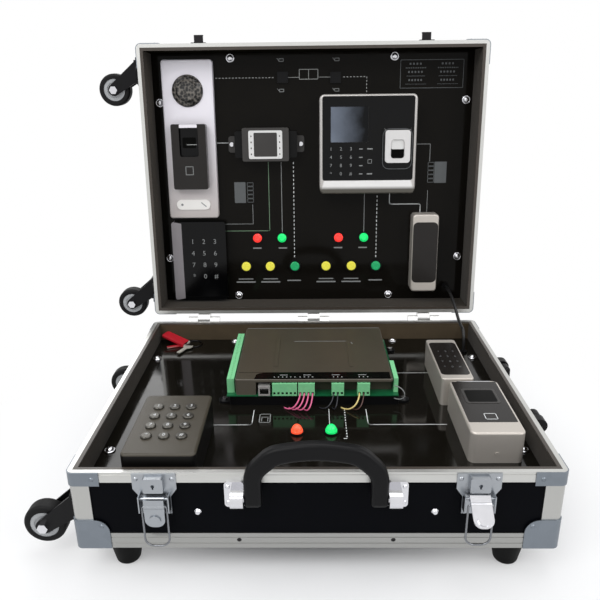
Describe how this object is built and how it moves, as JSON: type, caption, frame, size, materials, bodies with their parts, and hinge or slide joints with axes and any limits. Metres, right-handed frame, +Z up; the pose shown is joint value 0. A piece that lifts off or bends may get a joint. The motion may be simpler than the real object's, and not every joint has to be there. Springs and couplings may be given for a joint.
{
  "type": "door-entry training kit in a flight case",
  "caption": "Open aluminium-framed case with casters: keypads, readers, lamps, buttons and a controller on black panels.",
  "frame": {"origin": "middle of the case's underside, which is z = 0; the feet reach 38 mm below it", "axes": "+X to the right seen from the front, +Y to the rear where the hinges are, +Z up"},
  "size_m": [0.6335, 0.5889, 0.5914],
  "materials": {
    "board": "smooth black laminate over board",
    "lining": "dark brown felt-like lining",
    "aluminium": "bright anodised extrusion",
    "zinc": "zinc-plated pressed steel, slightly blue",
    "chrome": "bright plated steel",
    "hinge_steel": "plated steel",
    "black_steel": "black powder coat",
    "black_plastic": "moulded black plastic",
    "foot_rubber": "matt black rubber",
    "tyre": "black tread on a grey hub",
    "acrylic": "polished black acrylic with white printed lines",
    "board_green": "green circuit board with green terminals",
    "wires": "coloured wire insulation",
    "cable": "dark grey cable jacket",
    "device_black": "glossy black device fronts with silver edges",
    "keys_silver": "grey keys with plain numbers",
    "station_silver": "silver-white lacquered plate",
    "module_white": "pale grey module",
    "button_yellow": "translucent yellow cap",
    "button_green": "translucent green cap"
  },
  "bodies": {
    "base": {"base_shell": "board", "base_lining": "lining", "base_rails": "aluminium", "base_corner_guards": "zinc", "front_handle_brackets": "zinc", "latch_plates": "chrome", "base_standoffs": "chrome", "base_hinge_leaves": "hinge_steel", "case_keys": "hinge_steel", "base_caster_plates": "black_steel", "power_supply": "black_steel", "controller_tray": "black_steel", "side_handle_brackets": "black_plastic", "controller_cover": "black_plastic", "base_lamps": "black_plastic", "rubber_feet": "foot_rubber", "base_panel": "acrylic", "controller_board": "board_green", "controller_wires": "wires", "lid_cable": "cable", "keypad_housing": "device_black", "pin_reader": "device_black", "fingerprint_reader": "device_black"},
    "lid": {"lid_shell": "board", "lid_lining": "lining", "lid_rails": "aluminium", "lid_corner_guards": "zinc", "lid_panel": "acrylic", "lid_standoffs": "chrome", "lid_hinge_leaves": "hinge_steel", "latch_catches": "zinc", "lid_caster_plates": "black_steel", "door_station_plate": "station_silver", "door_station_reader": "device_black", "touch_keypad": "device_black", "door_module": "module_white", "fingerprint_terminal": "device_black", "card_reader": "device_black", "lid_indicators": "black_plastic"},
    "front_handle": {"front_handle": "black_plastic"},
    "side_handle": {"side_handle": "black_plastic"},
    "latch_lever_left": {"latch_lever_left": "chrome"},
    "latch_lever_right": {"latch_lever_right": "chrome"},
    "latch_bail_left": {"latch_bail_left": "chrome"},
    "latch_bail_right": {"latch_bail_right": "chrome"},
    "keypad_keys": {"keypad_keys": "keys_silver"},
    "base_front_fork": {"base_front_fork": "black_steel"},
    "base_rear_fork": {"base_rear_fork": "black_steel"},
    "base_front_wheel": {"base_front_wheel": "tyre"},
    "base_rear_wheel": {"base_rear_wheel": "tyre"},
    "lid_upper_fork": {"lid_upper_fork": "black_steel"},
    "lid_lower_fork": {"lid_lower_fork": "black_steel"},
    "lid_upper_wheel": {"lid_upper_wheel": "tyre"},
    "lid_lower_wheel": {"lid_lower_wheel": "tyre"},
    "button_yellow_1": {"button_yellow_1": "button_yellow"},
    "button_yellow_2": {"button_yellow_2": "button_yellow"},
    "button_yellow_3": {"button_yellow_3": "button_yellow"},
    "button_yellow_4": {"button_yellow_4": "button_yellow"},
    "button_green_1": {"button_green_1": "button_green"},
    "button_green_2": {"button_green_2": "button_green"}
  },
  "joints": [
    {"name": "lid_hinge", "type": "hinge", "parent": "base", "child": "lid", "pos_m": [0, 0.226, 0.1003], "axis": [1, 0, 0], "range_deg": [0, 93.9], "deforming": ["lid_cable"]},
    {"name": "front_handle_pivot", "type": "hinge", "parent": "base", "child": "front_handle", "pos_m": [0, -0.228, 0.074], "axis": [1, 0, 0], "range_deg": [0, 180]},
    {"name": "side_handle_pivot", "type": "hinge", "parent": "base", "child": "side_handle", "pos_m": [0.282, 0, 0.08], "axis": [0, -1, 0], "range_deg": [0, 180]},
    {"name": "latch_lever_left_pivot", "type": "hinge", "parent": "base", "child": "latch_lever_left", "pos_m": [-0.175, -0.2225, 0.071], "axis": [-1, 0, 0], "range_deg": [0, 120]},
    {"name": "latch_lever_right_pivot", "type": "hinge", "parent": "base", "child": "latch_lever_right", "pos_m": [0.175, -0.2225, 0.071], "axis": [-1, 0, 0], "range_deg": [-55, 65]},
    {"name": "latch_bail_left_pivot", "type": "hinge", "parent": "latch_lever_left", "child": "latch_bail_left", "pos_m": [-0.175, -0.2257, 0.063], "axis": [1, 0, 0], "range_deg": [-170, 5]},
    {"name": "latch_bail_right_pivot", "type": "hinge", "parent": "latch_lever_right", "child": "latch_bail_right", "pos_m": [0.175, -0.23089, 0.06903], "axis": [-1, 0, 0], "range_deg": [-65, 100]},
    {"name": "base_front_swivel", "type": "hinge", "parent": "base", "child": "base_front_fork", "pos_m": [-0.28, -0.178, 0.035], "axis": [1, 0, 0], "continuous": true},
    {"name": "base_front_roll", "type": "hinge", "parent": "base_front_fork", "child": "base_front_wheel", "pos_m": [-0.317, -0.178, 0.008], "axis": [0, 1, 0], "continuous": true},
    {"name": "base_rear_swivel", "type": "hinge", "parent": "base", "child": "base_rear_fork", "pos_m": [-0.28, 0.178, 0.035], "axis": [1, 0, 0], "continuous": true},
    {"name": "base_rear_roll", "type": "hinge", "parent": "base_rear_fork", "child": "base_rear_wheel", "pos_m": [-0.317, 0.178, 0.008], "axis": [0, 1, 0], "continuous": true},
    {"name": "lid_lower_swivel", "type": "hinge", "parent": "lid", "child": "lid_lower_fork", "pos_m": [-0.28, 0.26748, 0.14558], "axis": [1, 0, 0], "continuous": true},
    {"name": "lid_lower_roll", "type": "hinge", "parent": "lid_lower_fork", "child": "lid_lower_wheel", "pos_m": [-0.317, 0.26748, 0.11858], "axis": [0, 1, 0], "continuous": true},
    {"name": "lid_upper_swivel", "type": "hinge", "parent": "lid", "child": "lid_upper_fork", "pos_m": [-0.28, 0.29169, 0.50076], "axis": [1, 0, 0], "continuous": true},
    {"name": "lid_upper_roll", "type": "hinge", "parent": "lid_upper_fork", "child": "lid_upper_wheel", "pos_m": [-0.317, 0.29169, 0.47376], "axis": [0, 1, 0], "continuous": true},
    {"name": "keypad_travel", "type": "slide", "parent": "base", "child": "keypad_keys", "axis": [0, 0, -1], "range_m": [0, 0.0015], "stiffness_N_per_m": 800, "springref_m": -0.0006},
    {"name": "button_yellow_1_travel", "type": "slide", "parent": "lid", "child": "button_yellow_1", "axis": [0, 0.9977, -0.068], "range_m": [0, 0.003], "stiffness_N_per_m": 300, "springref_m": -0.001},
    {"name": "button_yellow_2_travel", "type": "slide", "parent": "lid", "child": "button_yellow_2", "axis": [0, 0.9977, -0.068], "range_m": [0, 0.003], "stiffness_N_per_m": 300, "springref_m": -0.001},
    {"name": "button_yellow_3_travel", "type": "slide", "parent": "lid", "child": "button_yellow_3", "axis": [0, 0.9977, -0.068], "range_m": [0, 0.003], "stiffness_N_per_m": 300, "springref_m": -0.001},
    {"name": "button_yellow_4_travel", "type": "slide", "parent": "lid", "child": "button_yellow_4", "axis": [0, 0.9977, -0.068], "range_m": [0, 0.003], "stiffness_N_per_m": 300, "springref_m": -0.001},
    {"name": "button_green_1_travel", "type": "slide", "parent": "lid", "child": "button_green_1", "axis": [0, 0.9977, -0.068], "range_m": [0, 0.003], "stiffness_N_per_m": 300, "springref_m": -0.001},
    {"name": "button_green_2_travel", "type": "slide", "parent": "lid", "child": "button_green_2", "axis": [0, 0.9977, -0.068], "range_m": [0, 0.003], "stiffness_N_per_m": 300, "springref_m": -0.001}
  ],
  "couplings": [
    {"joint": "latch_bail_right_pivot", "follows": "latch_lever_right_pivot", "ratio": -1}
  ]
}
